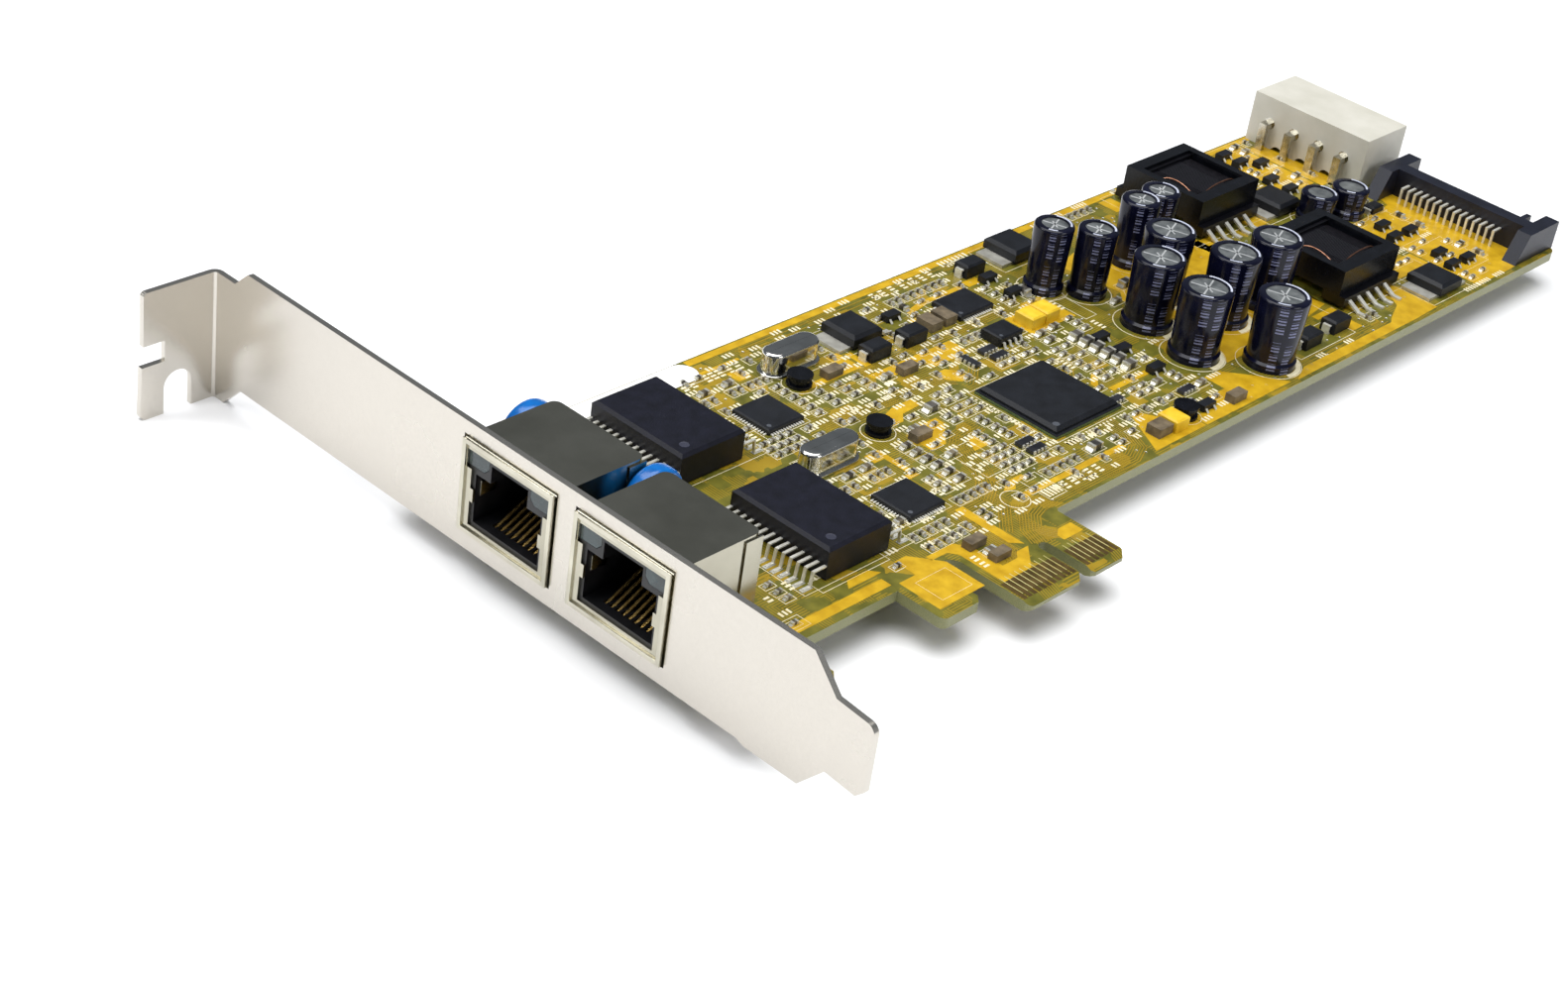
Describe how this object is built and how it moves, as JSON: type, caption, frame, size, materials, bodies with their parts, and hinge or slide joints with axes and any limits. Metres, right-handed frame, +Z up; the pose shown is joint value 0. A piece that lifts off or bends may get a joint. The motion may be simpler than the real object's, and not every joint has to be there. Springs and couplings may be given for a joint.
{
  "type": "network interface card",
  "caption": "Expansion card with a folded slot bracket, two network sockets, magnetics, capacitors and power inlets at its free end.",
  "frame": {"origin": "centre line of the key notch in the card edge, where it meets the board's lower edge line, on the component face", "axes": "+X along the card away from the bracket, +Y away from the card edge, +Z up from the component face"},
  "size_m": [0.2138, 0.12, 0.0218],
  "materials": {
    "printed_board": "yellow solder mask over copper, satin",
    "gold_pad": "gold plate",
    "gold_wire": "gold plate",
    "nickel_sheet": "plain nickel plate, satin",
    "screw_steel": "zinc plate",
    "shield_sheet": "tin plate",
    "tinned_metal": "bright tin plate",
    "crystal_can": "bright nickel plate",
    "jack_moulding": "black moulding",
    "clear_moulding": "clear moulding",
    "blue_dip": "dipped coating",
    "chip_moulding": "fine matt moulding",
    "dark_moulding": "blue-black moulding",
    "ivory_moulding": "natural nylon",
    "bobbin_moulding": "black moulding",
    "yellow_moulding": "yellow moulding",
    "capacitor_sleeve": "shrunk sleeve",
    "ferrite": "dull ferrite",
    "winding_tape": "film tape",
    "ceramic_block": "plain ceramic"
  },
  "bodies": {
    "root": {"bracket": "nickel_sheet", "bracket_screws": "screw_steel", "bridge_chip": "chip_moulding", "capacitor_1": "capacitor_sleeve", "capacitor_10": "capacitor_sleeve", "capacitor_11": "capacitor_sleeve", "capacitor_12": "capacitor_sleeve", "capacitor_2": "capacitor_sleeve", "capacitor_3": "capacitor_sleeve", "capacitor_4": "capacitor_sleeve", "capacitor_5": "capacitor_sleeve", "capacitor_6": "capacitor_sleeve", "capacitor_7": "capacitor_sleeve", "capacitor_8": "capacitor_sleeve", "capacitor_9": "capacitor_sleeve", "ceramic_capacitors": "ceramic_block", "circuit_board": "printed_board", "diode_leads": "tinned_metal", "drum_inductors": "ferrite", "edge_contacts": "gold_pad", "far_crystal": "crystal_can", "far_disc_capacitor": "blue_dip", "far_jack_contacts": "gold_wire", "far_jack_housing": "jack_moulding", "far_jack_light_pipes": "clear_moulding", "far_jack_shield": "shield_sheet", "far_port_chip": "chip_moulding", "far_power_bobbin": "bobbin_moulding", "far_power_core": "ferrite", "far_power_leads": "tinned_metal", "far_power_winding": "winding_tape", "far_pulse_transformer": "dark_moulding", "far_pulse_transformer_leads": "tinned_metal", "flat_power_contacts": "tinned_metal", "flat_power_housing": "dark_moulding", "four_pin_contacts": "tinned_metal", "four_pin_housing": "ivory_moulding", "memory_chip": "chip_moulding", "memory_chip_leads": "tinned_metal", "near_crystal": "crystal_can", "near_disc_capacitor": "blue_dip", "near_jack_contacts": "gold_wire", "near_jack_housing": "jack_moulding", "near_jack_light_pipes": "clear_moulding", "near_jack_shield": "shield_sheet", "near_port_chip": "chip_moulding", "near_power_bobbin": "bobbin_moulding", "near_power_core": "ferrite", "near_power_leads": "tinned_metal", "near_power_winding": "winding_tape", "near_pulse_transformer": "dark_moulding", "near_pulse_transformer_leads": "tinned_metal", "power_chip": "chip_moulding", "power_switch_bodies": "chip_moulding", "power_switch_frames": "tinned_metal", "rectifier_diodes": "chip_moulding", "small_transistors": "chip_moulding", "tantalum_capacitors": "yellow_moulding", "transistor_leads": "tinned_metal"}
  },
  "joints": []
}
